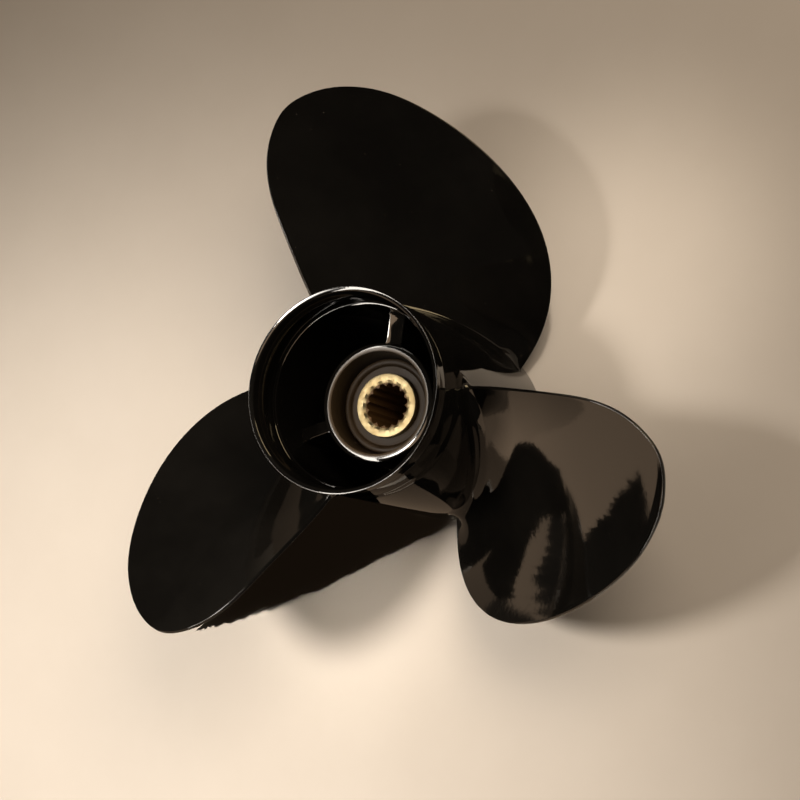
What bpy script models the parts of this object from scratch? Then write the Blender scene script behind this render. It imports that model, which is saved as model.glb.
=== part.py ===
# Three-blade propeller of an outboard boat motor, with its exhaust through the hub.
# The shaft axis is Z, pointing aft; the propeller stands on the forward end of its hub.
# Lengths are in metres. Heights run aft from the forward end of the hub, angles are in degrees.

import math

import bmesh
import bpy
import numpy as np
from mathutils import Vector

# Hub
HUB_LENGTH = 0.154
CENTRE_OF_MASS_HEIGHT = 0.067
BARREL_RADIUS = 0.0532
BARREL_BORE = 0.0488
BARREL_TOP = 0.1337
NECK_RADIUS = 0.0519
NECK_START = 0.120
BASE_CHAMFER = 0.0012
RIM_RADIUS = 0.0545
RIM_THICKNESS = 0.0016
RIM_ROUNDING = 0.0004
THROAT_RADIUS = 0.0505
FLARE_POWER = 2.4
FIT_GAP = 0.0003
DIFFUSER_BOTTOM = BARREL_TOP + FIT_GAP

# Inner hub, its ribs, and what it carries
INNER_HUB_BOTTOM = 0.004
INNER_HUB_TOP = 0.110
INNER_HUB_RADIUS = 0.0323
INNER_HUB_BASE_RADIUS = 0.0335
INNER_HUB_BORE = 0.0262
INNER_HUB_LIP = 0.0009
MOUTH_RADIUS = 0.0299
MOUTH_DEPTH = 0.014
RIB_TOP = 0.107
RIB_THICKNESS = 0.008
RIB_ANGLE = 73.0
BUSHING_BOTTOM = 0.007
BUSHING_TOP = 0.0975
BUSHING_BEAD = 0.0024
SLEEVE_BOTTOM = 0.004
SLEEVE_TOP = 0.099
SLEEVE_RADIUS = 0.0174
SPLINE_ROOT_RADIUS = 0.0126
SPLINE_TIP_RADIUS = 0.0110
SPLINE_TEETH = 15

# Blades
BLADE_COUNT = 3
ROOT_RADIUS = 0.0536
TIP_RADIUS = 0.175
PITCH_ANGLE_ORIGIN = 75.0
EDGE_THICKNESS = 0.0022
EDGE_NOSE = 0.0009
ROOT_THICKNESS = 0.0110
TIP_THICKNESS = 0.0030
THICKNESS_TAPER = 1.6
THICKNESS_FULLNESS = 0.8
CAMBER = 0.022
FILLET_RADIUS = 0.008
EDGE_FILLET = 0.0012
FILLET_RUN_OUT = 0.12
# radius, leading edge angle, trailing edge angle, pitch, height at the pitch angle's origin
BLADE_STATIONS = [
    (ROOT_RADIUS, 30.0, 118.0, 0.420, 0.0648),
    (0.075, 32.8, 115.1, 0.427, 0.0729),
    (0.100, 38.6, 112.4, 0.429, 0.0827),
    (0.125, 48.8, 110.4, 0.414, 0.0919),
    (0.145, 62.0, 107.9, 0.388, 0.0996),
    (0.160, 73.9, 104.3, 0.367, 0.1050),
    (0.170, 83.2, 100.0, 0.355, 0.1080),
    (TIP_RADIUS, 92.5, 92.5, 0.352, 0.1092),
]

# Fineness of the faceted shapes
SHARP_ANGLE = 32.0
ROUND_STEPS = 60
BUSHING_STEPS = 40
BEAD_STEPS = 4
FLARE_ROWS = 6
RIB_STEPS = 4
TOOTH_STEPS = 4
BLADE_ROWS = 15
FILLET_ROWS = 4
FILLET_ROW_CROWDING = 1.6
LAST_ROW_REACH = 0.965
BLADE_COLUMNS = 17
ROOT_CAP_ROWS = 5
SLOPE_STEP = 0.0005
CHORD_STEP = 0.01
WELD = 1e-6


def clear_scene():
    for old in list(bpy.data.objects):
        bpy.data.objects.remove(old, do_unlink=True)


def make_material(name, color, roughness, metallic):
    material = bpy.data.materials.new(name)
    material.use_nodes = True
    shader = material.node_tree.nodes["Principled BSDF"]
    shader.inputs["Base Color"].default_value = (*color, 1.0)
    shader.inputs["Roughness"].default_value = roughness
    shader.inputs["Metallic"].default_value = metallic
    material.diffuse_color = (*color, 1.0)
    return material


def add_object(name, bm, material, parent):
    """Closes the edit mesh into a named, smooth-shaded object."""
    bmesh.ops.remove_doubles(bm, verts=bm.verts, dist=WELD)
    bmesh.ops.recalc_face_normals(bm, faces=bm.faces)
    mesh = bpy.data.meshes.new(name)
    bm.to_mesh(mesh)
    bm.free()
    mesh.materials.append(material)
    mesh.shade_smooth()
    mesh.set_sharp_from_angle(angle=math.radians(SHARP_ANGLE))
    piece = bpy.data.objects.new(name, mesh)
    bpy.context.collection.objects.link(piece)
    piece.parent = parent
    return piece


def turned(profile, steps):
    """Turns a closed outline of (radius, height) points about the shaft axis."""
    bm = bmesh.new()
    verts = [bm.verts.new((radius, 0.0, height)) for radius, height in profile]
    edges = [bm.edges.new((verts[i - 1], verts[i])) for i in range(len(verts))]
    bmesh.ops.spin(
        bm,
        geom=verts + edges,
        cent=(0, 0, 0),
        axis=(0, 0, 1),
        angle=math.tau,
        steps=steps,
        use_merge=True,
    )
    return bm


def ring_of_points(bm, points):
    """Makes a closed loop of vertices and edges and returns its edges."""
    verts = [bm.verts.new(point) for point in points]
    return [bm.edges.new((verts[i - 1], verts[i])) for i in range(len(verts))]


def barrel_profile():
    lip = BASE_CHAMFER
    return [
        (BARREL_RADIUS - lip, 0.0),
        (BARREL_RADIUS, lip),
        (BARREL_RADIUS, NECK_START),
        (NECK_RADIUS, BARREL_TOP),
        (BARREL_BORE, BARREL_TOP),
        (BARREL_BORE, lip),
        (BARREL_BORE + lip, 0.0),
    ]


def diffuser_profile():
    """Thin flared ring: straight at its foot, opening to the rounded exhaust rim."""
    outside = []
    inside = []
    inner_rim = RIM_RADIUS - RIM_THICKNESS
    rise = HUB_LENGTH - RIM_ROUNDING - DIFFUSER_BOTTOM
    for i in range(FLARE_ROWS + 1):
        part = i / FLARE_ROWS
        height = DIFFUSER_BOTTOM + rise * part
        flare = part ** FLARE_POWER
        outside.append((NECK_RADIUS + (RIM_RADIUS - NECK_RADIUS) * flare, height))
        inside.append((THROAT_RADIUS + (inner_rim - THROAT_RADIUS) * flare, height))
    rim = [(RIM_RADIUS - RIM_ROUNDING, HUB_LENGTH), (inner_rim + RIM_ROUNDING, HUB_LENGTH)]
    return outside + rim + inside[::-1]


def inner_hub_profile():
    lip = INNER_HUB_LIP
    return [
        (INNER_HUB_BASE_RADIUS, INNER_HUB_BOTTOM),
        (INNER_HUB_RADIUS, INNER_HUB_TOP - lip),
        (INNER_HUB_RADIUS - lip, INNER_HUB_TOP),
        (MOUTH_RADIUS + lip, INNER_HUB_TOP),
        (MOUTH_RADIUS, INNER_HUB_TOP - lip),
        (INNER_HUB_BORE, INNER_HUB_TOP - MOUTH_DEPTH),
        (INNER_HUB_BORE, INNER_HUB_BOTTOM),
    ]


def inner_hub_radius_at(height):
    """The casting's draft: the inner hub narrows evenly from its foot to its lip."""
    share = (height - INNER_HUB_BOTTOM) / (INNER_HUB_TOP - INNER_HUB_LIP - INNER_HUB_BOTTOM)
    return INNER_HUB_BASE_RADIUS + (INNER_HUB_RADIUS - INNER_HUB_BASE_RADIUS) * share


def bushing_profile():
    """Moulded rubber drum with a half-round bead along the edge of its aft face."""
    inner = SLEEVE_RADIUS + FIT_GAP
    outer = INNER_HUB_BORE - FIT_GAP
    shoulder = BUSHING_TOP - BUSHING_BEAD
    profile = [(inner, BUSHING_BOTTOM), (outer, BUSHING_BOTTOM)]
    for i in range(BEAD_STEPS + 1):
        turn = math.pi * i / BEAD_STEPS
        radius = outer - BUSHING_BEAD * (1 - math.cos(turn))
        profile.append((radius, shoulder + BUSHING_BEAD * math.sin(turn)))
    profile.append((inner, shoulder))
    return profile


def make_sleeve():
    """Sleeve with straight splines: a toothed bore in a round tube."""
    bm = bmesh.new()
    count = SPLINE_TEETH * TOOTH_STEPS
    outer = []
    inner = []
    for i in range(count):
        angle = math.tau * (i + 0.5) / count
        direction = Vector((math.cos(angle), math.sin(angle), 0.0))
        in_groove = i % TOOTH_STEPS < TOOTH_STEPS // 2
        bore = SPLINE_ROOT_RADIUS if in_groove else SPLINE_TIP_RADIUS
        foot = Vector((0.0, 0.0, SLEEVE_BOTTOM))
        outer.append(direction * SLEEVE_RADIUS + foot)
        inner.append(direction * bore + foot)
    edges = ring_of_points(bm, outer) + ring_of_points(bm, inner)
    bmesh.ops.bridge_loops(bm, edges=edges)
    grown = bmesh.ops.extrude_face_region(bm, geom=list(bm.faces))
    top = [item for item in grown["geom"] if isinstance(item, bmesh.types.BMVert)]
    bmesh.ops.translate(bm, verts=top, vec=(0, 0, SLEEVE_TOP - SLEEVE_BOTTOM))
    return bm


def rib_outline(height):
    """Cross-section of a rib, with ends that follow the inner hub and the barrel."""
    inner = inner_hub_radius_at(height) + FIT_GAP
    outline = []
    for radius, order in ((inner, 1), (BARREL_BORE - FIT_GAP, -1)):
        reach = math.asin(RIB_THICKNESS / 2 / radius)
        for i in range(RIB_STEPS + 1):
            turn = reach * (2 * i / RIB_STEPS - 1) * order
            outline.append((radius * math.cos(turn), radius * math.sin(turn), height))
    return outline


def make_rib(angle):
    """Radial web between the inner hub and the barrel."""
    bm = bmesh.new()
    bottom = ring_of_points(bm, rib_outline(INNER_HUB_BOTTOM))
    top = ring_of_points(bm, rib_outline(RIB_TOP))
    bmesh.ops.bridge_loops(bm, edges=bottom + top)
    bmesh.ops.contextual_create(bm, geom=bottom)
    bmesh.ops.contextual_create(bm, geom=top)
    turn_about_axis(bm, angle)
    return bm


def turn_about_axis(bm, degrees):
    angle = math.radians(degrees)
    for vert in bm.verts:
        x, y, z = vert.co
        vert.co.x = x * math.cos(angle) - y * math.sin(angle)
        vert.co.y = x * math.sin(angle) + y * math.cos(angle)


def reach_of(radius):
    """Runs from 0 at the root to 1 at the tip and slows down towards the round tip."""
    share = min(max((radius - ROOT_RADIUS) / (TIP_RADIUS - ROOT_RADIUS), 0.0), 1.0)
    return math.asin(share) / (math.pi / 2)


def radius_at(reach):
    return ROOT_RADIUS + (TIP_RADIUS - ROOT_RADIUS) * math.sin(reach * math.pi / 2)


class SmoothCurve:
    """Natural cubic curve through a few stations."""

    def __init__(self, places, values):
        self.x = np.array(places)
        self.y = np.array(values)
        n = len(self.x)
        step = np.diff(self.x)
        slope = np.diff(self.y) / step
        system = np.eye(n)
        right = np.zeros(n)
        for i in range(1, n - 1):
            system[i, i - 1] = step[i - 1]
            system[i, i] = 2 * (step[i - 1] + step[i])
            system[i, i + 1] = step[i]
            right[i] = 6 * (slope[i] - slope[i - 1])
        self.bend = np.linalg.solve(system, right)

    def at(self, place):
        i = int(np.clip(np.searchsorted(self.x, place) - 1, 0, len(self.x) - 2))
        step = self.x[i + 1] - self.x[i]
        a = (self.x[i + 1] - place) / step
        b = (place - self.x[i]) / step
        bow = ((a ** 3 - a) * self.bend[i] + (b ** 3 - b) * self.bend[i + 1]) * step ** 2 / 6
        return float(a * self.y[i] + b * self.y[i + 1] + bow)


REACHES = [reach_of(row[0]) for row in BLADE_STATIONS]
LEADING, TRAILING, PITCH, HEIGHT = [
    SmoothCurve(REACHES, [row[column] for row in BLADE_STATIONS]) for column in range(1, 5)
]


def face_point(radius, chord):
    """Point of the aft (pressure) face; chord runs from 0, leading, to 1, trailing."""
    reach = reach_of(radius)
    lead = LEADING.at(reach)
    trail = TRAILING.at(reach)
    angle = lead + (trail - lead) * chord
    height = HEIGHT.at(reach) + PITCH.at(reach) * (angle - PITCH_ANGLE_ORIGIN) / 360.0
    width = math.radians(trail - lead) * radius
    height -= CAMBER * width * 4 * chord * (1 - chord)
    turn = math.radians(angle)
    return Vector((radius * math.cos(turn), radius * math.sin(turn), height))


def face_normal(radius, chord):
    low = max(radius - SLOPE_STEP, ROOT_RADIUS)
    high = min(radius + SLOPE_STEP, TIP_RADIUS - SLOPE_STEP)
    along = face_point(high, chord) - face_point(low, chord)
    fore = max(chord - CHORD_STEP, 0)
    aft = min(chord + CHORD_STEP, 1)
    across = face_point(radius, aft) - face_point(radius, fore)
    return along.cross(across).normalized()


def blade_thickness(radius, chord):
    left = (TIP_RADIUS - radius) / (TIP_RADIUS - ROOT_RADIUS)
    full = TIP_THICKNESS + (ROOT_THICKNESS - TIP_THICKNESS) * left ** THICKNESS_TAPER
    fullness = (4 * chord * (1 - chord)) ** THICKNESS_FULLNESS
    return EDGE_THICKNESS + (full - EDGE_THICKNESS) * fullness


def fillet_width(radius, chord):
    """How far the blade swells on each face where it runs into the barrel."""
    rise = radius - ROOT_RADIUS
    if rise >= FILLET_RADIUS:
        return 0.0
    swell = FILLET_RADIUS - math.sqrt(FILLET_RADIUS ** 2 - (FILLET_RADIUS - rise) ** 2)
    inside = min(chord, 1 - chord) / FILLET_RUN_OUT
    share = EDGE_FILLET / FILLET_RADIUS
    return swell * (share + (1 - share) * min(inside, 1.0))


def at_radius(point, radius):
    """Moves a point straight out from, or in to, the shaft axis."""
    flat = math.hypot(point.x, point.y)
    return Vector((point.x * radius / flat, point.y * radius / flat, point.z))


def blade_section(radius):
    """Aft and forward outlines of one section, from the leading to the trailing edge."""
    aft = []
    forward = []
    rise = radius - ROOT_RADIUS
    free = min(max((rise - FILLET_RADIUS) / FILLET_RADIUS, 0.0), 1.0)
    for j in range(BLADE_COLUMNS):
        even = j / (BLADE_COLUMNS - 1)
        chord = (even + 0.5 - 0.5 * math.cos(math.pi * even)) / 2
        point = face_point(radius, chord)
        normal = face_normal(radius, chord)
        swell = fillet_width(radius, chord)
        front = point - normal * (blade_thickness(radius, chord) + swell)
        aft.append(at_radius(point + normal * swell, radius))
        forward.append(front * free + at_radius(front, radius) * (1 - free))
    return aft, forward


def section_loop(radius):
    """Closed loop round one section, with a rounded nose on both edges."""
    aft, forward = blade_section(radius)
    loop = []
    for end, inward in ((0, 1), (-1, -2)):
        outward = (aft[end] - aft[inward]).normalized()
        nose = (aft[end] + forward[end]) / 2 + outward * EDGE_NOSE
        side = aft if end == -1 else forward[::-1]
        loop += side + [nose if radius > ROOT_RADIUS else at_radius(nose, radius)]
    return loop


def blade_radii():
    """Radii of the sections: close together in the root fillet and at the round tip."""
    rises = [FILLET_RADIUS * (i / FILLET_ROWS) ** FILLET_ROW_CROWDING for i in range(FILLET_ROWS)]
    radii = [ROOT_RADIUS + rise for rise in rises]
    first = reach_of(ROOT_RADIUS + FILLET_RADIUS)
    for i in range(BLADE_ROWS):
        part = i / (BLADE_ROWS - 1)
        radii.append(radius_at(first + (LAST_ROW_REACH - first) * part))
    return radii


def make_blade(angle):
    bm = bmesh.new()
    previous = None
    for radius in blade_radii():
        edges = ring_of_points(bm, section_loop(radius))
        if previous:
            bmesh.ops.bridge_loops(bm, edges=previous + edges)
        previous = edges
    bmesh.ops.contextual_create(bm, geom=previous)
    close_root(bm)
    turn_about_axis(bm, angle)
    return bm


def close_root(bm):
    """Closes the blade's foot with rows that lie round the barrel."""
    loop = section_loop(ROOT_RADIUS)
    count = BLADE_COLUMNS
    forward = loop[:count][::-1]
    aft = loop[count + 1:2 * count + 1]
    lead_nose = loop[count]
    trail_nose = loop[-1]
    rows = []
    for k in range(ROOT_CAP_ROWS + 1):
        part = k / ROOT_CAP_ROWS
        row = [at_radius(a * (1 - part) + f * part, ROOT_RADIUS) for a, f in zip(aft, forward)]
        rows.append([bm.verts.new(point) for point in row])
    for upper, lower in zip(rows, rows[1:]):
        for j in range(count - 1):
            bm.faces.new((upper[j], upper[j + 1], lower[j + 1], lower[j]))
    for end, nose in ((0, lead_nose), (count - 1, trail_nose)):
        tip = bm.verts.new(nose)
        for upper, lower in zip(rows, rows[1:]):
            bm.faces.new((upper[end], lower[end], tip))
    bmesh.ops.remove_doubles(bm, verts=bm.verts, dist=WELD)


def main():
    clear_scene()
    shaft = bpy.data.objects.new("shaft_axis", None)
    bpy.context.collection.objects.link(shaft)
    shaft.location = (0.0, 0.0, -CENTRE_OF_MASS_HEIGHT)

    paint = make_material("gloss_black_paint", (0.008, 0.008, 0.008), 0.12, 0.0)
    rubber = make_material("black_rubber", (0.03, 0.028, 0.026), 0.6, 0.0)
    brass = make_material("brass", (0.78, 0.52, 0.2), 0.25, 1.0)

    add_object("hub_barrel", turned(barrel_profile(), ROUND_STEPS), paint, shaft)
    add_object("diffuser_ring", turned(diffuser_profile(), ROUND_STEPS), paint, shaft)
    add_object("inner_hub", turned(inner_hub_profile(), ROUND_STEPS), paint, shaft)
    add_object("rubber_bushing", turned(bushing_profile(), BUSHING_STEPS), rubber, shaft)
    add_object("splined_sleeve", make_sleeve(), brass, shaft)
    for i in range(BLADE_COUNT):
        turn = -360.0 * i / BLADE_COUNT
        add_object(f"rib_{i + 1}", make_rib(RIB_ANGLE + turn), paint, shaft)
        add_object(f"blade_{i + 1}", make_blade(turn), paint, shaft)
    bpy.context.view_layer.update()


main()
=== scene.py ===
# Outboard motor propeller: the finished casting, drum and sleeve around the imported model,
# with its floor, lights and camera. Lengths are in metres, angles in degrees.

import math
import bmesh
import bpy
import numpy as np
from mathutils import Matrix, Vector


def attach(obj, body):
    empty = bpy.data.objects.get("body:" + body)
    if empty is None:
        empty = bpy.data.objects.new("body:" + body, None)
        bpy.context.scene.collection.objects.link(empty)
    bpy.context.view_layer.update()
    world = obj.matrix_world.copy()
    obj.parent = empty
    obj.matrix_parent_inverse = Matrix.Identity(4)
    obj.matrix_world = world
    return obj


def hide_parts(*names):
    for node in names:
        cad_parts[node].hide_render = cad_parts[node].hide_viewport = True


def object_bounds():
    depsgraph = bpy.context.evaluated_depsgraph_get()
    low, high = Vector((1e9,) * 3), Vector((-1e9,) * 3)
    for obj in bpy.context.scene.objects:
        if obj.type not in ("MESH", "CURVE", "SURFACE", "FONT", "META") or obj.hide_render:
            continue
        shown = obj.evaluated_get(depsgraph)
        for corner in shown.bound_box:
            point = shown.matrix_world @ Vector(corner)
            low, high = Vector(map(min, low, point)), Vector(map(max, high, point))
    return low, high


print("loading the packed propeller")
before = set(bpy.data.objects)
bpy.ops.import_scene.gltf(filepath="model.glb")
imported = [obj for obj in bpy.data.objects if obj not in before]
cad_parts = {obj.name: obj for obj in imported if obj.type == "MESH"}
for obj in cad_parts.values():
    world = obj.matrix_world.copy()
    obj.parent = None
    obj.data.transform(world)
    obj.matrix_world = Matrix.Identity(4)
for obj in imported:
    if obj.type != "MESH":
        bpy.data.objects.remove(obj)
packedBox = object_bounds()
footHeight = packedBox[0][2]  # the hub stands here; heights below are measured up from it
bladeCount = 3
bladeStep = 360 / bladeCount
weldDistance = 1e-6


# Shader wiring

class Wire:
    # one output of a node; sums written with it become Math nodes

    def __init__(self, tree, socket=None):
        self.tree = tree
        self.socket = socket

    def node(self, kind, settings=None, sockets=None, out=0):
        made = self.tree.nodes.new(kind)
        for name, value in (settings or {}).items():
            setattr(made, name, value)
        for name, value in (sockets or {}).items():
            if isinstance(value, Wire):
                self.tree.links.new(value.socket, made.inputs[name])
            else:
                made.inputs[name].default_value = value
        return Wire(self.tree, made.outputs[out])

    def math(self, operation, first, second=0.0, clamp=False):
        return self.node("ShaderNodeMath", {"operation": operation, "use_clamp": clamp},
                         {0: first, 1: second})

    def __add__(self, other):
        return self.math("ADD", self, other)

    def __sub__(self, other):
        return self.math("SUBTRACT", self, other)

    def __rsub__(self, other):
        return self.math("SUBTRACT", other, self)

    def __mul__(self, other):
        return self.math("MULTIPLY", self, other)

    def __truediv__(self, other):
        return self.math("DIVIDE", self, other)

    def __pow__(self, other):
        return self.math("POWER", self, other)

    __radd__ = __add__
    __rmul__ = __mul__

    def above(self, start, full):
        # 0 below start and 1 from full on, or the other way round if full is the lower
        return self.math("MULTIPLY", self - start, 1 / (full - start), clamp=True)

    def blend(self, dark, light):
        return self.node("ShaderNodeMix", {"data_type": "RGBA"}, {0: self, 6: dark, 7: light}, 2)


def noise(start, place, scale, detail=2.0, roughness=0.5):
    return start.node("ShaderNodeTexNoise", sockets={
        "Vector": place, "Scale": scale, "Detail": detail, "Roughness": roughness})


def newFinish(name, constants):
    # gives the material, the shader's input setter and the place on the object
    material = bpy.data.materials.new(name)
    material.use_nodes = True
    tree = material.node_tree
    shader = tree.nodes["Principled BSDF"]
    for socket, value in constants.items():
        shader.inputs[socket].default_value = value
    start = Wire(tree)
    place = start.node("ShaderNodeTexCoord", out=3)  # the Object output

    def feed(socket, wire):
        tree.links.new(wire.socket, shader.inputs[socket])

    return material, start, place, feed


def axisDistance(start, place):
    parts = start.node("ShaderNodeSeparateXYZ", sockets={0: place})
    across = start.node("ShaderNodeSeparateXYZ", sockets={0: place}, out=1)
    return (parts * parts + across * across) ** 0.5


def scattered(start, place, scale, size, share):
    # small separate specks: only a share of the cells carries one
    cell = start.node("ShaderNodeTexVoronoi", {"feature": "F1"}, {"Vector": place, "Scale": scale})
    pick = start.node("ShaderNodeTexVoronoi", {"feature": "F1"}, {"Vector": place, "Scale": scale}, 1)
    chosen = start.node("ShaderNodeSeparateColor", sockets={0: pick})
    return cell.above(size, size * 0.5) * chosen.above(share, share * 0.98)


# Finishes

paintLook = {
    "black": (0.0042, 0.0037, 0.0031, 1), "worn": (0.0075, 0.0066, 0.0055, 1),
    "dust": (0.30, 0.26, 0.21, 1), "dustScale": 150, "dustSize": 0.055, "dustShare": 0.02,
    "grainScale": 620, "grainSize": 0.10, "grainShare": 0.012,
    "roughness": 0.045, "cloudScale": 18, "rubScale": 260, "peelScale": 420, "waveScale": 34,
    # mouth is a painted tan reflection on the inner hub's mouth wall near its lip, mouthShade is painted
    # shade deeper in
    "mouth": (0.060, 0.039, 0.0195, 1), "mouthShade": (0.014, 0.009, 0.0045, 1),
    "mouthRadius": 0.0300, "mouthLow": 0.032, "mouthHigh": 0.042}


def makePaint(look):
    material, start, place, feed = newFinish("glossBlackPaint", {"IOR": 1.45})
    cloud = noise(start, place, look["cloudScale"], 4, 0.6)
    dust = scattered(start, place, look["dustScale"], look["dustSize"], look["dustShare"])
    grains = scattered(start, place, look["grainScale"], look["grainSize"], look["grainShare"])
    # painted light inside the inner hub's mouth: a tan reflection near the lip that fades into painted
    # shade further down
    mouth = axisDistance(start, place).above(look["mouthRadius"], look["mouthRadius"] - 0.0005)
    height = start.node("ShaderNodeSeparateXYZ", sockets={0: place}, out=2)
    inside = height.above(look["mouthLow"], look["mouthHigh"]).blend(look["mouthShade"], look["mouth"])
    body = mouth.blend(cloud.above(0.4, 0.7).blend(look["black"], look["worn"]), inside)
    feed("Base Color", (dust + grains).above(0, 1).blend(body, look["dust"]))
    streaks = start.node("ShaderNodeMapping", sockets={"Vector": place, "Scale": (1, 1, 0.12)})
    rubbed = noise(start, streaks, look["rubScale"], 3, 0.7)
    feed("Roughness", look["roughness"] + cloud.above(0.35, 0.8) * 0.03
         + rubbed.above(0.62, 0.8) * 0.06 + dust * 0.5 + mouth * 0.38)
    peel = noise(start, place, look["peelScale"], 2, 0.5)
    wave = noise(start, place, look["waveScale"], 1, 0.4)
    skin = peel * 0.12 + wave * 0.9 + dust * 0.8
    feed("Normal", start.node("ShaderNodeBump", sockets={
        "Strength": 0.10, "Distance": 0.001, "Height": skin}))
    return material


brassLook = {
    "bright": (0.34, 0.285, 0.165, 1), "dull": (0.25, 0.18, 0.082, 1),
    "greased": (0.12, 0.063, 0.022, 1), "cloudScale": 160, "roughness": 0.52,
    "ringPitch": 0.00035, "boreRadius": 0.0123, "boreEdge": 0.0004}


def makeBrass(look):
    material, start, place, feed = newFinish("turnedBrass", {"Metallic": 1.0})
    cloud = noise(start, place, look["cloudScale"], 4, 0.6)
    radius = axisDistance(start, place)
    rings = start.math("SINE", radius * (math.tau / look["ringPitch"]))
    bore = radius.above(look["boreRadius"] + look["boreEdge"], look["boreRadius"])  # greased splines
    turned = cloud.above(0.35, 0.75).blend(look["bright"], look["dull"])
    feed("Base Color", bore.blend(turned, look["greased"]))
    feed("Metallic", 1 - bore * 0.8)
    feed("Roughness", look["roughness"] + cloud.above(0.4, 0.8) * 0.08 + bore * 0.05)
    feed("Normal", start.node("ShaderNodeBump", sockets={
        "Strength": 0.25, "Distance": 0.0001, "Height": rings * 0.4 + cloud}))
    return material


rubberLook = {"black": (0.019, 0.0115, 0.0056, 1), "bloom": (0.038, 0.026, 0.016, 1),
              "roughness": 0.42, "cloudScale": 90, "grainScale": 1400}


def makeRubber(look):
    material, start, place, feed = newFinish("mouldedRubber", {
        "IOR": 1.45, "Specular IOR Level": 0.12})
    cloud = noise(start, place, look["cloudScale"], 5, 0.6)
    grain = noise(start, place, look["grainScale"], 3, 0.6)
    feed("Base Color", cloud.above(0.35, 0.75).blend(look["black"], look["bloom"]))
    feed("Roughness", look["roughness"] + cloud.above(0.3, 0.8) * 0.18)
    feed("Normal", start.node("ShaderNodeBump", sockets={
        "Strength": 0.3, "Distance": 0.0002, "Height": grain}))
    return material


print("mixing the finishes")
glossPaint = makePaint(paintLook)
turnedBrass = makeBrass(brassLook)
mouldedRubber = makeRubber(rubberLook)


# Mesh helpers

def finishPiece(name, bm, node, material, sharpAngle=35):
    bmesh.ops.translate(bm, verts=bm.verts, vec=(0, 0, footHeight))
    bmesh.ops.remove_doubles(bm, verts=bm.verts, dist=weldDistance)
    bmesh.ops.recalc_face_normals(bm, faces=bm.faces)
    mesh = bpy.data.meshes.new(name)
    bm.to_mesh(mesh)
    bm.free()
    mesh.materials.append(material)
    mesh.shade_smooth()
    mesh.set_sharp_from_angle(angle=math.radians(sharpAngle))
    piece = bpy.data.objects.new(name, mesh)
    bpy.context.collection.objects.link(piece)
    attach(piece, "root")
    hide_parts(node)
    return piece


def lathe(corners, steps):
    # turns a closed outline of radius, height and corner rounding about the shaft axis
    bm = bmesh.new()
    verts = [bm.verts.new((radius, 0, height)) for radius, height, rounding in corners]
    face = bm.faces.new(verts)
    for size in sorted({rounding for radius, height, rounding in corners if rounding}):
        picked = [vert for vert, corner in zip(verts, corners) if corner[2] == size]
        bmesh.ops.bevel(bm, geom=picked, offset=size, offset_type="OFFSET", segments=5,
                        profile=0.5, affect="VERTICES", material=-1)
    bmesh.ops.delete(bm, geom=bm.faces[:], context="FACES_ONLY")
    bmesh.ops.spin(bm, geom=bm.verts[:] + bm.edges[:], cent=(0, 0, 0), axis=(0, 0, 1),
                   angle=math.tau, steps=steps, use_merge=True)
    return bm


def crown(first, last, height, drop, steps=8):
    # a shallow arch between two radii, as far down at both ends as the drop says
    points = []
    for step in range(steps + 1):
        part = step / steps
        points.append((first + (last - first) * part, height - drop * (2 * part - 1) ** 2, 0.0))
    return points


# Hub barrel

barrel = {
    "radius": 0.0532, "bore": 0.0488, "footRound": 0.0012,
    "shoulder": 0.1215, "shoulderTop": 0.1250, "shoulderRound": 0.0022,
    "neckFoot": 0.0524, "neckTop": 0.0519, "neckRound": 0.0012, "top": 0.1382, "topRound": 0.0004,
    "seat": 0.1337, "seatRadius": 0.0513, "seatFlat": 0.0002, "throat": 0.0504, "ledgeDrop": 0.00022,
    "steps": 288}


def makeBarrel(size):
    corners = [
        (size["radius"], 0.0, size["footRound"]),
        (size["radius"], size["shoulder"], size["shoulderRound"]),
        (size["neckFoot"], size["shoulderTop"], size["neckRound"]),
        (size["neckTop"], size["top"], size["topRound"]),
        (size["seatRadius"], size["top"], 0.0),
        (size["seatRadius"], size["seat"], 0.0),
        (size["throat"] + size["seatFlat"], size["seat"], 0.0)]
    corners += crown(size["throat"], size["bore"], size["seat"], size["ledgeDrop"])
    corners.append((size["bore"], 0.0, size["footRound"]))
    return lathe(corners, size["steps"])


print("turning the hub")
finishPiece("hubBarrel", makeBarrel(barrel), "hub_barrel", glossPaint)


# Exhaust ring

exhaustRing = {
    "rim": 0.0545, "wall": 0.0022, "rimFall": 0.00045, "rimRound": 0.0005, "innerRimRound": 0.0007,
    "top": 0.154, "foot": 0.1386, "footRound": 0.0003,
    "spigotFoot": 0.1341, "spigotRound": 0.0002, "throat": 0.0505, "throatDrop": 0.002,
    "spigot": 0.0511, "outside": 0.0520, "flareFoot": 0.1445, "flareBend": 0.8,
    "flareRows": 10, "steps": 288}


def makeExhaustRing(size):
    lift = size["top"] - size["flareFoot"]
    grow = size["rim"] - size["outside"]
    outer = []
    inner = []
    for row in range(1, size["flareRows"]):
        part = row / size["flareRows"]
        bow = grow * (1 - math.cos(part * math.pi / 2)) ** size["flareBend"]
        height = size["flareFoot"] + lift * part
        outer.append((size["outside"] + bow, height, 0.0))
        inner.append((size["outside"] + bow - size["wall"], height, 0.0))
    corners = [
        (size["outside"], size["foot"], size["footRound"]),
        (size["outside"], size["flareFoot"], 0.0)]
    corners += outer
    corners += [
        (size["rim"], size["top"], size["rimRound"]),
        (size["rim"] - size["wall"], size["top"] - size["rimFall"], size["innerRimRound"])]
    corners += inner[::-1]
    corners += [
        (size["throat"], size["flareFoot"] - size["throatDrop"], 0.0),
        (size["throat"], size["spigotFoot"], size["spigotRound"]),
        (size["spigot"], size["spigotFoot"], size["spigotRound"]),
        (size["spigot"], size["foot"], 0.0)]
    return lathe(corners, size["steps"])


finishPiece("exhaustRing", makeExhaustRing(exhaustRing), "diffuser_ring",
            glossPaint)


# Inner hub

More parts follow.
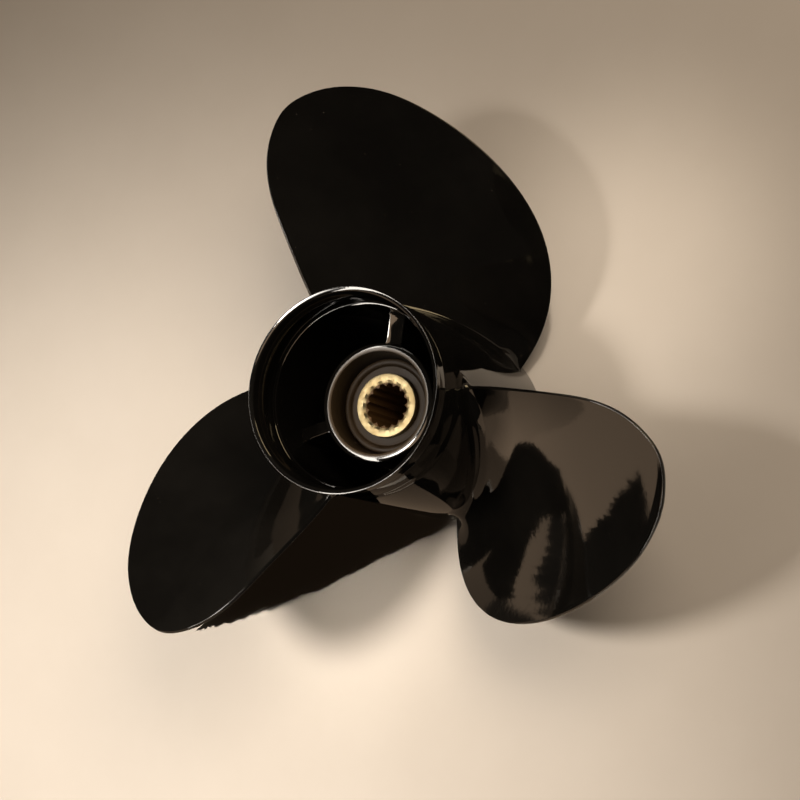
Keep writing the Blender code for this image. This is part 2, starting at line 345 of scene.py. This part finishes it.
innerHub = {
    "bottom": 0.004, "top": 0.110, "radius": 0.0323, "footRadius": 0.0335, "bore": 0.0262,
    "footRound": 0.0008, "boreRound": 0.0006, "shoulderDrop": 0.0012, "shoulderRound": 0.0005,
    "crest": 0.0297, "outerBend": 0.0085, "outerTurn": 16, "innerBend": 0.0030, "innerTurn": 34,
    "lipSteps": 8, "mouthFoot": 0.0277, "mouthTaper": 0.0002, "mouthDrop": 0.0026,
    "mouthRound": 0.0006, "mouthStep": 0.1025, "stepRound": 0.0012, "mouthEnd": 0.0965, "steps": 192}


def makeInnerHub(size):
    corners = [
        (size["footRadius"], size["bottom"], size["footRound"]),
        (size["radius"], size["top"] - size["shoulderDrop"], size["shoulderRound"])]
    # the lip is crowned: a wide bend outside and a tight one inside meet on its crest
    lip = [(size["outerBend"], size["outerTurn"] * (1 - step / size["lipSteps"]))
           for step in range(size["lipSteps"])]
    lip += [(size["innerBend"], -size["innerTurn"] * step / size["lipSteps"])
            for step in range(size["lipSteps"] + 1)]
    for bend, turn in lip:
        turn = math.radians(turn)
        fall = bend * (1 - math.cos(turn))
        corners.append((size["crest"] + bend * math.sin(turn), size["top"] - fall, 0.0))
    corners += [
        (size["mouthFoot"] + size["mouthTaper"], size["top"] - size["mouthDrop"], size["mouthRound"]),
        (size["mouthFoot"], size["mouthStep"], size["stepRound"]),
        (size["bore"], size["mouthEnd"], 0.0),
        (size["bore"], size["bottom"], size["boreRound"])]
    return lathe(corners, size["steps"])


finishPiece("innerHub", makeInnerHub(innerHub), "inner_hub", glossPaint)


# Ribs

rib = {"thickness": 0.008, "top": 0.107, "bottom": 0.004, "angle": 73, "sink": 0.0006,
       "fillet": 0.0024, "edgeRound": 0.0006, "topSlope": 8, "sideSlope": 20, "steps": 14}


def makeRib(size, turn):
    bm = bmesh.new()
    inside = innerHub["radius"] - size["sink"]
    outside = barrel["bore"] + size["sink"]
    flare = []
    for step in range(size["steps"] + 1):
        part = 0.5 - 0.5 * math.cos(math.pi * step / size["steps"])
        radius = inside + (outside - inside) * part
        reach = min(radius - inside, outside - radius, size["fillet"])
        gap = size["fillet"] - reach
        swell = size["fillet"] - math.sqrt(size["fillet"] ** 2 - gap ** 2)
        flare.append((radius, size["thickness"] / 2 + swell))
    outline = flare + [(radius, -half) for radius, half in flare[::-1]]
    verts = [bm.verts.new((radius, side, size["bottom"])) for radius, side in outline]
    bm.faces.new(verts)
    grown = bmesh.ops.extrude_face_region(bm, geom=bm.faces[:])
    raised = [item for item in grown["geom"] if isinstance(item, bmesh.types.BMVert)]
    bmesh.ops.translate(bm, verts=raised, vec=(0, 0, size["top"] - size["bottom"]))
    for vert in raised:
        vert.co.z -= (outside - vert.co.x) * math.tan(math.radians(size["topSlope"]))
        vert.co.z += vert.co.y * math.tan(math.radians(size["sideSlope"]))
    lip = [edge for edge in bm.edges if all(vert in raised for vert in edge.verts)]
    bmesh.ops.bevel(bm, geom=lip, offset=size["edgeRound"], offset_type="OFFSET", segments=4,
                    profile=0.5, affect="EDGES", material=-1)
    bmesh.ops.rotate(bm, verts=bm.verts, cent=(0, 0, 0),
                     matrix=Matrix.Rotation(math.radians(turn), 3, "Z"))
    return bm


print("joining the ribs")
for number in range(bladeCount):
    bm = makeRib(rib, rib["angle"] - bladeStep * number)
    finishPiece(f"rib{number + 1}", bm, f"rib_{number + 1}", glossPaint)


# Rubber drum and brass sleeve

drum = {"bottom": 0.007, "top": 0.0975, "inner": 0.0176, "outer": 0.0260, "footRound": 0.0006,
        "shoulderRound": 0.0015, "bead": 0.0034, "beadSlope": 0.0006, "beadRound": 0.0013,
        "dish": 0.0021, "dishRound": 0.0006, "steps": 160}


def makeDrum(size):
    crest = size["outer"] - size["bead"]
    corners = [
        (size["inner"], size["bottom"], 0.0),
        (size["outer"], size["bottom"], size["footRound"]),
        (size["outer"], size["top"], size["shoulderRound"]),
        (crest, size["top"], size["beadRound"]),
        (crest - size["beadSlope"], size["top"] - size["dish"], size["dishRound"]),
        (size["inner"], size["top"] - size["dish"], 0.0)]
    return lathe(corners, size["steps"])


finishPiece("rubberDrum", makeDrum(drum), "rubber_bushing", mouldedRubber)

sleeve = {"bottom": 0.004, "top": 0.099, "outer": 0.0174, "mouth": 0.0139, "root": 0.0123,
          "tip": 0.0106, "teeth": 15, "toothSteps": 18, "toothTurn": 16.3,
          "grooveBend": 0.8, "leadIn": 0.8, "edgeRound": 0.0004, "edgeMiddle": 0.3}


def splinePoint(size, number):
    part = (number % size["toothSteps"]) / size["toothSteps"]
    dip = math.sin(math.pi * part) ** size["grooveBend"]  # round grooves between narrow teeth
    return size["tip"] + (size["root"] - size["tip"]) * dip


def makeSleeve(size):
    bm = bmesh.new()
    phase = math.radians(size["toothTurn"])
    count = size["teeth"] * size["toothSteps"]
    middle = (size["top"] + size["bottom"]) / 2
    half = (size["top"] - size["bottom"]) / 2
    bevel = size["edgeRound"] * size["edgeMiddle"]
    rows = []  # radius or None for the splined bore, and height above the middle
    for side in (-1, 1):
        ends = [(size["outer"], half - size["edgeRound"]), (size["outer"] - bevel, half - bevel),
                (size["outer"] - size["edgeRound"], half), (size["mouth"], half), (None, half)]
        rows += [(radius, height * side) for radius, height in ends[::side]]
    rows = rows[5:] + rows[:5]
    loops = []
    for radius, height in rows:
        ring = bmesh.ops.create_circle(bm, segments=count, radius=size["outer"])["verts"]
        for vert in ring:
            turn = math.atan2(vert.co.y, vert.co.x)
            number = round(turn / math.tau * count)
            reach = radius or splinePoint(size, number)
            lead = 0 if radius else (size["mouth"] - max(reach, size["root"])) * size["leadIn"]
            side = 1 if height > 0 else -1
            vert.co = (reach * math.cos(turn + phase), reach * math.sin(turn + phase),
                       middle + height - lead * side)
        loops.append(list({edge for vert in ring for edge in vert.link_edges}))
    for first, second in zip(loops, loops[1:] + loops[:1]):
        bmesh.ops.bridge_loops(bm, edges=first + second)
    return bm


print("cutting the splines")
finishPiece("brassSleeve", makeSleeve(sleeve), "splined_sleeve", turnedBrass)


# Blades

blade = {
    # radius, leading edge angle, trailing edge angle, pitch, height at the pitch angle's origin
    "stations": [
        (0.0536, 30.0, 118.0, 0.420, 0.0648), (0.075, 32.8, 115.1, 0.427, 0.0729),
        (0.100, 38.6, 112.4, 0.429, 0.0827), (0.125, 48.9, 110.4, 0.414, 0.0919),
        (0.145, 62.2, 107.7, 0.388, 0.0996), (0.160, 74.2, 104.1, 0.367, 0.1050),
        (0.170, 83.2, 100.0, 0.355, 0.1080), (0.1743, 92.5, 92.5, 0.352, 0.1090)],
    "pitchOrigin": 75, "camber": 0.022, "bowFade": 0.05,
    "edge": 0.0022, "nose": 0.00045, "noseRound": 0.0004, "rootThick": 0.011, "tipThick": 0.003,
    "taper": 1.6, "fullness": 0.8, "tipReach": 0.992, "tipFade": 0.030,
    "fillet": 0.0070, "leadFillet": 0.0016, "trailFillet": 0.0055, "runOut": 0.13,
    "liftReach": 0.025, "liftBend": 12, "liftRun": 0.16,
    "skirtSink": 0.0001, "rootSink": 0.0006, "filletLift": 0.00002, "weld": 1e-7,
    "courseStep": 0.004, "courseEnd": 0.995, "radiusStep": 0.0002, "angleStep": 0.02,
    "tipMargin": 0.0003, "tipTurns": (30, 60, 90),
    "columns": 64, "rows": 76, "filletRows": 14, "cornerSteps": 3}


def smoothCurve(places, values):
    # natural cubic through a few stations
    places, values = np.array(places), np.array(values)
    step = np.diff(places)
    slope = np.diff(values) / step
    system = np.eye(len(places))
    right = np.zeros(len(places))
    for i in range(1, len(places) - 1):
        system[i, i - 1:i + 2] = step[i - 1], 2 * (step[i - 1] + step[i]), step[i]
        right[i] = 6 * (slope[i] - slope[i - 1])
    bend = np.linalg.solve(system, right)

    def at(place):
        i = min(max(int(np.searchsorted(places, place)) - 1, 0), len(step) - 1)
        a = (places[i + 1] - place) / step[i]
        b = 1 - a
        bow = ((a ** 3 - a) * bend[i] + (b ** 3 - b) * bend[i + 1]) * step[i] ** 2 / 6
        return a * values[i] + b * values[i + 1] + bow

    return at


rootStation = blade["stations"][0][0]
tipStation = blade["stations"][-1][0]


def reachOf(radius):
    share = min(max((radius - rootStation) / (tipStation - rootStation), 0), 1)
    return math.asin(share) * 2 / math.pi


def radiusAt(reach):
    return rootStation + (tipStation - rootStation) * math.sin(reach * math.pi / 2)


stationReach = [reachOf(row[0]) for row in blade["stations"]]
leadAngle, trailAngle, pitchAt, heightAt = [
    smoothCurve(stationReach, [row[column] for row in blade["stations"]]) for column in range(1, 5)]


def anglesAt(radius, chords):
    # chords run from 0, leading, to 1, trailing
    reach = reachOf(radius)
    lead, trail = leadAngle(reach), trailAngle(reach)
    return lead + (trail - lead) * chords


def faceAt(size, radius, angle):
    # points of the aft face at the given angles about the shaft
    reach = reachOf(radius)
    lead, trail = leadAngle(reach), trailAngle(reach)
    chords = np.clip((angle - lead) / max(trail - lead, 1e-6), 0, 1)
    width = math.radians(trail - lead) * radius
    height = heightAt(reach) + pitchAt(reach) * (angle - size["pitchOrigin"]) / 360
    bow = size["camber"] * width * min(width / size["bowFade"], 1) ** 2  # none left at the tip
    height = height - bow * 4 * chords * (1 - chords)
    turn = np.radians(angle)
    return np.stack([radius * np.cos(turn), radius * np.sin(turn), height], axis=1)


def edgeCourse(size, radius):
    # the way the leading and the trailing edge run at this radius
    step = size["courseStep"]
    reach = min(max(reachOf(radius), step), size["courseEnd"])
    low, high = radiusAt(reach - step), radiusAt(reach + step)
    ends = np.array([0.0, 1.0])
    return faceAt(size, high, anglesAt(high, ends)) - faceAt(size, low, anglesAt(low, ends))


def unit(vectors):
    return vectors / np.linalg.norm(vectors, axis=-1, keepdims=True)


def atRadius(points, radius):
    flat = np.hypot(points[:, 0], points[:, 1])[:, None]
    return np.concatenate([points[:, :2] * radius / flat, points[:, 2:]], axis=1)


def bladeSection(size, radius, thin=1.0, push=0.0, swellRise=None, noseShare=1.0):
    # one closed loop round the blade: aft face, trailing edge, forward face, leading edge
    columns = size["columns"]
    even = np.arange(columns + 1) / columns
    chords = (even + 0.5 - 0.5 * np.cos(math.pi * even)) / 2
    angles = anglesAt(radius, chords)
    points = faceAt(size, radius, angles)
    low = min(max(radius, rootStation), tipStation - size["tipMargin"])
    along = faceAt(size, low + size["radiusStep"], angles) - faceAt(size, low, angles)
    near, far = angles - size["angleStep"], angles + size["angleStep"]
    across = faceAt(size, radius, far) - faceAt(size, radius, near)
    normal = unit(np.cross(along, across))
    course = edgeCourse(size, radius)
    left = (tipStation - radius) / (tipStation - rootStation)
    grown = size["rootThick"] - size["tipThick"]
    full = size["tipThick"] + grown * min(max(left, 0), 1) ** size["taper"]
    width = np.linalg.norm(points[-1] - points[0])
    full = size["edge"] + (full - size["edge"]) * min(width / size["tipFade"], 1)
    thick = size["edge"] + (full - size["edge"]) * (4 * chords * (1 - chords)) ** size["fullness"]
    middle = points - normal * thick[:, None] / 2 + unit(along) * push
    half = thick[:, None] / 2 * thin
    aft = middle + normal * half
    forward = middle - normal * half
    free = min(max((radius - rootStation - size["fillet"]) / size["fillet"], 0), 1)
    forward = forward * free + atRadius(forward, radius) * (1 - free)

    # the fillet runs out towards both edges
    leadFade, trailFade = [fade * fade * (3 - 2 * fade) for fade in (
        np.clip(chords / size["runOut"], 0, 1), np.clip((1 - chords) / size["runOut"], 0, 1))]
    fillet = np.minimum(
        size["leadFillet"] + (size["fillet"] - size["leadFillet"]) * leadFade,
        size["trailFillet"] + (size["fillet"] - size["trailFillet"]) * trailFade)

    def swell(radii):
        # how far the casting's fillet stands out at this height over the barrel
        if swellRise is None:
            return radii * 0
        gap = np.clip(radii - swellRise, 0, None)
        return radii - np.sqrt(radii ** 2 - gap ** 2)

    rootGap = max(barrel["radius"] + size["liftReach"] - radius, 0)
    calm = np.clip(np.minimum(chords, 1 - chords) / size["liftRun"], 0, 1)
    lift = size["liftBend"] / 2 * rootGap ** 2 * calm * calm * (3 - 2 * calm)
    loop = [aft + normal * (swell(fillet) + lift)[:, None]]
    for end, endFillet in ((-1, size["trailFillet"]), (0, size["leadFillet"])):
        outward = unit(np.cross(course[end], normal[end]))  # square to the edge, in the blade's face
        outward = outward if end == 0 else -outward
        up = normal[end] if end == -1 else -normal[end]
        centre = middle[end]
        reach = half[end, 0]
        corner = size["noseRound"] * thin
        turns = np.radians(90 * np.arange(size["cornerSteps"] + 1) / size["cornerSteps"])
        side = reach - corner + corner * np.cos(turns)
        tip = size["nose"] - size["noseRound"] + size["noseRound"] * np.sin(turns)
        side, tip = np.concatenate([side, -side[::-1]]), np.concatenate([tip, tip[::-1]])
        tip = tip * noseShare
        grow = swell(np.array([endFillet]))[0]
        spread = np.concatenate([turns, math.pi - turns[::-1]])
        nose = [centre + up * (s + grow * math.cos(a)) + outward * (t + grow * math.sin(a))
                for s, t, a in zip(side, tip, spread)]
        loop.append(np.array(nose))
        if end == -1:
            loop.append((forward - normal * swell(fillet)[:, None])[::-1])
    return np.concatenate(loop)


def bladeRows(size):
    skin = barrel["radius"]
    fillet = size["fillet"]
    skirt = atRadius(bladeSection(size, skin, swellRise=0), skin - size["skirtSink"])
    rows = [skirt]
    for row in range(size["filletRows"]):
        turn = math.radians(90 * row / size["filletRows"])
        rise = fillet * (1 - math.cos(turn))
        section = bladeSection(size, skin + rise, swellRise=rise)
        rows.append(atRadius(section, skin + rise + size["filletLift"]))
    first = reachOf(skin + fillet)
    for row in range(size["rows"] + 1):
        part = row / size["rows"]
        rows.append(bladeSection(size, radiusAt(first + (size["tipReach"] - first) * part)))
    last = radiusAt(size["tipReach"])
    for turn in size["tipTurns"]:
        turn = math.radians(turn)
        rows.append(bladeSection(size, last, thin=math.cos(turn), push=size["nose"] * math.sin(turn),
                                 noseShare=1 - math.sin(turn)))
    return rows


def foldedRow(size, row, radius):
    # the two sides of a loop drawn together, to close the foot inside the barrel's wall
    count = len(row)
    half = size["columns"] + 1
    noseCount = 2 * (size["cornerSteps"] + 1)
    mirror = np.arange(count)
    mirror[:half] = half + noseCount + np.arange(half)[::-1]
    mirror[half + noseCount:2 * half + noseCount] = np.arange(half)[::-1]
    mirror[half:half + noseCount] = half + np.arange(noseCount)[::-1]
    mirror[2 * half + noseCount:] = 2 * half + noseCount + np.arange(noseCount)[::-1]
    return atRadius((row + row[mirror]) / 2, radius)


def makeBlade(rows, turn):
    count = len(rows[0])
    bm = bmesh.new()
    bmesh.ops.create_grid(bm, x_segments=count, y_segments=len(rows) - 1, size=0.5)
    for vert in bm.verts:
        column = round((vert.co.x + 0.5) * count) % count
        row = round((vert.co.y + 0.5) * (len(rows) - 1))
        vert.co = Vector(rows[row][column])
    bmesh.ops.remove_doubles(bm, verts=bm.verts, dist=blade["weld"])
    bmesh.ops.dissolve_degenerate(bm, edges=bm.edges, dist=blade["weld"])
    bmesh.ops.rotate(bm, verts=bm.verts, cent=(0, 0, 0),
                     matrix=Matrix.Rotation(math.radians(turn), 3, "Z"))
    return bm


print("casting the blades")
skinRows = bladeRows(blade)
rootRadius = barrel["radius"] - blade["rootSink"]
sunk = atRadius(skinRows[0], rootRadius)
skinRows = [foldedRow(blade, sunk, rootRadius), sunk] + skinRows
for number in range(bladeCount):
    bm = makeBlade(skinRows, -bladeStep * number)
    finishPiece(f"blade{number + 1}", bm, f"blade_{number + 1}", glossPaint,
                sharpAngle=50)


# Floor, lights and camera

floorLook = {
    "size": 8, "cells": 8, "gap": 0.0001, "pale": (0.72, 0.65, 0.575, 1),
    "dark": (0.67, 0.60, 0.525, 1), "cloudScale": 5, "roughness": 0.9}
roomColor = (0.030, 0.026, 0.022, 1)
keyLamp = {"place": (-0.42, -0.05, 1.25), "aim": (-0.26, -0.22, -0.067), "power": 82, "cone": 46,
           "radius": 0.13, "color": (1.0, 0.93, 0.84), "mattOnly": False}
# these lift the floor below the hub and right of the upper blade, where the standing propeller
# throws a shadow that the leaning one doesn't
lowLamp = {"place": (-0.236, -0.984, 1.005), "aim": (-0.070, -0.084, -0.067), "power": 84, "cone": 3.7,
           "radius": 0.05, "color": (1.0, 0.93, 0.84), "mattOnly": True}
farLamp = {"place": (0.594, 0.42, 1.202), "aim": (0.109, 0.081, -0.067), "power": 34, "cone": 9,
           "radius": 0.05, "color": (1.0, 0.90, 0.77), "mattOnly": True}


def direction(azimuth, elevation):
    flat = math.cos(math.radians(elevation))
    return Vector((flat * math.cos(math.radians(azimuth)), flat * math.sin(math.radians(azimuth)),
                   math.sin(math.radians(elevation))))


def link(thing):
    bpy.context.collection.objects.link(thing)
    return thing


def makeFloor(look):
    bm = bmesh.new()
    bmesh.ops.create_grid(bm, x_segments=look["cells"], y_segments=look["cells"], size=look["size"] / 2)
    bmesh.ops.translate(bm, verts=bm.verts, vec=(0, 0, footHeight - look["gap"]))
    mesh = bpy.data.meshes.new("floor")
    bm.to_mesh(mesh)
    bm.free()
    material, start, place, feed = newFinish("paleFloor", {
        "Roughness": look["roughness"], "Specular IOR Level": 0.0})
    cloud = noise(start, place, look["cloudScale"], 5, 0.6)
    feed("Base Color", cloud.above(0.3, 0.7).blend(look["dark"], look["pale"]))
    mesh.materials.append(material)
    link(bpy.data.objects.new("floor", mesh))


fillBox = {"azimuth": 28, "elevation": 60, "roll": 0, "distance": 1.35, "width": 0.7, "height": 0.7,
           "radiance": 6.5, "color": (1.0, 0.86, 0.70), "aim": (0.16, 0.06, 0), "mattOnly": True}
stripBox = {"azimuth": 194, "elevation": 61, "roll": -18, "distance": 1.5, "width": 1.64,
            "height": 0.14, "radiance": 32, "color": (1.0, 0.92, 0.82),
            "aim": (0, 0, 0), "mattOnly": False}
glowBox = {"azimuth": 43, "elevation": 16, "roll": 0, "distance": 1.5, "width": 0.80, "height": 0.9,
           "radiance": 7, "color": (1.0, 0.76, 0.42), "aim": (0, 0, 0), "mattOnly": False}


def addSoftBox(name, look):
    # faces its aim from the given direction; radiance is what a mirror would show of it
    data = bpy.data.lights.new(name, "AREA")
    data.shape = "RECTANGLE"
    data.size, data.size_y = look["width"], look["height"]
    data.color = look["color"]
    data.energy = look["radiance"] * math.pi * look["width"] * look["height"]
    light = link(bpy.data.objects.new(name, data))
    away = direction(look["azimuth"], look["elevation"])
    light.location = Vector(look["aim"]) + away * look["distance"]
    roll = Matrix.Rotation(math.radians(look["roll"]), 3, "Z")
    light.rotation_euler = (away.to_track_quat("Z", "Y").to_matrix() @ roll).to_euler()
    light.visible_camera = False
    light.visible_diffuse = look["mattOnly"]
    light.visible_glossy = not look["mattOnly"]  # the other kind only draws bright lines on rims


def addSpot(name, look):
    data = bpy.data.lights.new(name, "SPOT")
    data.energy = look["power"]
    data.color = look["color"]
    data.spot_size = math.radians(look["cone"])
    data.spot_blend = 1.0
    data.shadow_soft_size = look["radius"]
    light = link(bpy.data.objects.new(name, data))
    light.location = look["place"]
    away = Vector(look["place"]) - Vector(look["aim"])
    light.rotation_euler = away.to_track_quat("Z", "Y").to_euler()
    light.visible_glossy = not look["mattOnly"]


# the dark flags here and on the floor are painted shade, seen only in the paint's reflections
# reflector cards and dark flags that the paint mirrors; outlines are in the card's own plane,
# across and up from the point that the direction and the distance give
cardColor = (1.0, 0.70, 0.46, 1)
dimColor = (0.50, 0.35, 0.23, 1)
cards = {
    "leftCard": {
        "azimuth": 196, "elevation": 14, "distance": 1.5, "radiance": 1.65,
        "frayed": [(0.06, 0.39), (0.00, 0.30), (-0.09, 0.19), (-0.22, 0.05), (-0.40, -0.13)],
        "outline": [(-0.30, -0.14), (0.12, -0.15), (0.15, -0.26), (0.19, -0.34), (0.24, -0.44),
                    (1.30, -0.44), (1.30, 0.75), (-0.35, 0.75), (-0.35, 0.45), (-0.07, 0.43)]},
    "lowStrip": {
        "azimuth": 196, "elevation": 14, "distance": 1.5, "radiance": 1.0,
        "frayed": [(-0.15, -0.27), (-0.30, -0.26), (-0.65, -0.305), (-1.60, -0.345)],
        "outline": [(-1.60, -0.35), (-1.02, -0.385), (-0.86, -0.40), (-0.26, -0.44)]},
    "sideCard": {
        "azimuth": 180, "elevation": 0, "distance": 0.45, "radiance": 1.65,
        "fade": (-0.42, -0.22),
        "outline": [(0.20, -0.067), (0.80, -0.067), (0.80, 0.28), (0.36, 0.28), (0.27, 0.05)]},
    # painted shade: a dark sheet behind the left blade, mirrored in place of floor that lies in shadow
    "flag": {
        "azimuth": 180, "elevation": 0, "distance": 0.19, "radiance": 0.0,
        "frayed": [(0.037, -0.003), (0.063, -0.007), (0.080, 0.0), (0.103, 0.033)],
        "outline": [(0.106, 0.050), (0.112, 0.068), (0.121, 0.073), (0.137, 0.073), (0.140, 0.037),
                    (0.141, 0.016), (0.137, -0.002), (0.130, -0.027), (0.111, -0.059),
                    (0.108, -0.067), (0.030, -0.067), (0.030, -0.014)]},
    "ribCard": {
        "azimuth": 230, "elevation": 80, "distance": 1.6, "radiance": 4.5,
        "outline": [(-0.24, -0.16), (0.24, -0.16), (0.24, 0.24), (-0.24, 0.24)]},
    "rootCard": {
        "azimuth": 250, "elevation": 0, "distance": 1.3, "radiance": 1.2,
        "outline": [(-0.72, -0.06), (0.72, -0.06), (0.72, 0.10), (0.20, 0.34), (-0.72, 0.34)]}}
# these lie on the floor, their outlines running along -y and -x; they stand for what the
# leaning propeller would mirror there, painting shaded floor into the paint's reflections
floorFacing = {"azimuth": 180, "elevation": -89.9}
floorCards = {
    "floorFlag": {
        "distance": 0.066, "radiance": 0.0,
        "outline": [(0.055, 0.045), (0.170, 0.045), (0.170, 0.190), (0.025, 0.190)]},
    "farFlag": {
        "distance": 0.066, "radiance": 0.02,
        "outline": [(-0.15, 0.20), (-0.225, 0.34), (-0.40, 0.52), (-0.75, 0.90), (-1.3, 1.4),
                    (-1.3, 0.2), (-0.4, 0.12)]},
    "nearShade": {
        "distance": 0.065, "radiance": 0.13,
        "outline": [(-0.08, 0.18), (-0.08, 0.30), (-0.20, 0.50), (-0.42, 0.50), (-0.30, 0.18)]},
    "rightFlag": {
        "distance": 0.066, "radiance": 0.0,
        "outline": [(-0.048, -0.062), (-0.048, -0.24), (-0.18, -0.24), (-0.18, -0.03), (-0.085, -0.03)]},
    "rightShade": {
        "distance": 0.065, "radiance": 0.12,
        "outline": [(-0.048, -0.095), (-0.048, -0.24), (-0.01, -0.24), (-0.01, -0.095)]},
    "rootShade": {
        "distance": 0.0655, "radiance": 0.34,
        "outline": [(0.08, 0.45), (0.08, 0.20), (0.14, 0.20), (0.14, -0.09), (0.60, -0.09),
                    (1.20, 0.20), (1.20, 0.70), (0.30, 0.70)]},
    "edgeShade": {
        "distance": 0.0655, "radiance": 0.40,
        "outline": [(0.03, 0.115), (0.045, 0.20), (0.03, 0.45), (-0.10, 1.0), (-0.45, 1.6),
                    (-0.45, 1.2), (-0.20, 0.55), (-0.09, 0.30), (-0.03, 0.14), (0.0, 0.12)]},
    # not mirrored: a painted shadow, a sheet just over the floor that keeps the floor under the left
    # blade as dark as the leaning propeller does
    "footShade": {
        "distance": 0.065, "radiance": 0.009, "shadow": True,
        "frayed": [(0.0985, 0.184), (0.0975, 0.168), (0.091, 0.127), (0.085, 0.097), (0.077, 0.073),
                   (0.068, 0.046), (0.061, 0.022), (0.055, 0.004)],
        "outline": [(0.046, 0.030), (0.026, 0.048), (0.005, 0.054), (0.005, 0.085), (0.036, 0.138),
                    (0.066, 0.147), (0.085, 0.160), (0.094, 0.176)]},
    "lowShade": {
        "distance": 0.065, "radiance": 0.16,
        "outline": [(0.055, 0.02), (0.055, 0.055), (0.130, 0.055), (0.130, -0.02), (0.06, -0.02)]}}
tornEdge = {"fray": 0.016, "threads": 9}


def tornRun(corners, distance):
    # a torn edge: each stretch between corners becomes a run of short teeth
    points = []
    for first, last in zip(corners, corners[1:]):
        first, last = Vector(first), Vector(last)
        out = Vector((first.y - last.y, last.x - first.x)).normalized()
        for step in range(tornEdge["threads"]):
            size = tornEdge["fray"] * distance * (0.6 + 0.4 * math.sin(step * 2.3 + first.x * 40))
            points.append(first.lerp(last, step / tornEdge["threads"]) + out * size * (-1) ** step)
    return points + [Vector(corner) for corner in corners[-1:]]


def makeCard(name, look):
    away = direction(look["azimuth"], look["elevation"])
    side = Vector((0, 0, 1)).cross(away).normalized()
    over = away.cross(side)
    outline = tornRun(look.get("frayed", []), look["distance"])
    outline += [Vector(point) for point in look["outline"]]
    bm = bmesh.new()
    verts = [bm.verts.new(away * look["distance"] + side * point.x + over * point.y) for point in outline]
    bm.faces.new(verts)
    mesh = bpy.data.meshes.new(name)
    bm.to_mesh(mesh)
    bm.free()
    material = bpy.data.materials.new(name)
    material.use_nodes = True
    tree = material.node_tree
    shader = tree.nodes["Principled BSDF"]
    shader.inputs["Base Color"].default_value = (0, 0, 0, 1)
    shader.inputs["Specular IOR Level"].default_value = 0
    shader.inputs["Emission Color"].default_value = cardColor
    if "fade" in look:  # dimmer towards its far end
        start = Wire(tree)
        place = start.node("ShaderNodeTexCoord", out=3)
        along = start.node("ShaderNodeSeparateXYZ", sockets={0: place}, out=1)
        shade = along.above(*look["fade"]).blend(dimColor, cardColor)
        tree.links.new(shade.socket, shader.inputs["Emission Color"])
    shader.inputs["Emission Strength"].default_value = look["radiance"]
    mesh.materials.append(material)
    card = link(bpy.data.objects.new(name, mesh))
    card.visible_camera = False
    card.visible_diffuse = "shadow" in look
    card.visible_shadow = "shadow" in look
    card.visible_glossy = "shadow" not in look


view = {"lens": 89.8, "sensor": 36, "place": (0.4379, -0.2093, 0.9954),
        "right": (0.905, -0.0725, -0.4192), "up": (0.1471, 0.9779, 0.1485),
        "back": (0.3992, -0.196, 0.8957)}


def addCamera(look):
    data = bpy.data.cameras.new("camera")
    data.lens = look["lens"]
    data.sensor_width = look["sensor"]
    camera = link(bpy.data.objects.new("camera", data))
    turn = Matrix((look["right"], look["up"], look["back"])).transposed()
    camera.matrix_world = Matrix.Translation(look["place"]) @ turn.to_4x4()
    bpy.context.scene.camera = camera


print("lighting the floor")
makeFloor(floorLook)
addSpot("keyLamp", keyLamp)
addSpot("lowLamp", lowLamp)
addSpot("farLamp", farLamp)
for name, look in cards.items():
    makeCard(name, look)
for name, look in floorCards.items():
    makeCard(name, {**floorFacing, **look})
addSoftBox("stripBox", stripBox)
addSoftBox("fillBox", fillBox)
addSoftBox("glowBox", glowBox)

scene = bpy.context.scene
world = bpy.data.worlds.new("dimRoom")
world.use_nodes = True
world.node_tree.nodes["Background"].inputs["Color"].default_value = roomColor
scene.world = world
scene.view_settings.view_transform = "Standard"
addCamera(view)
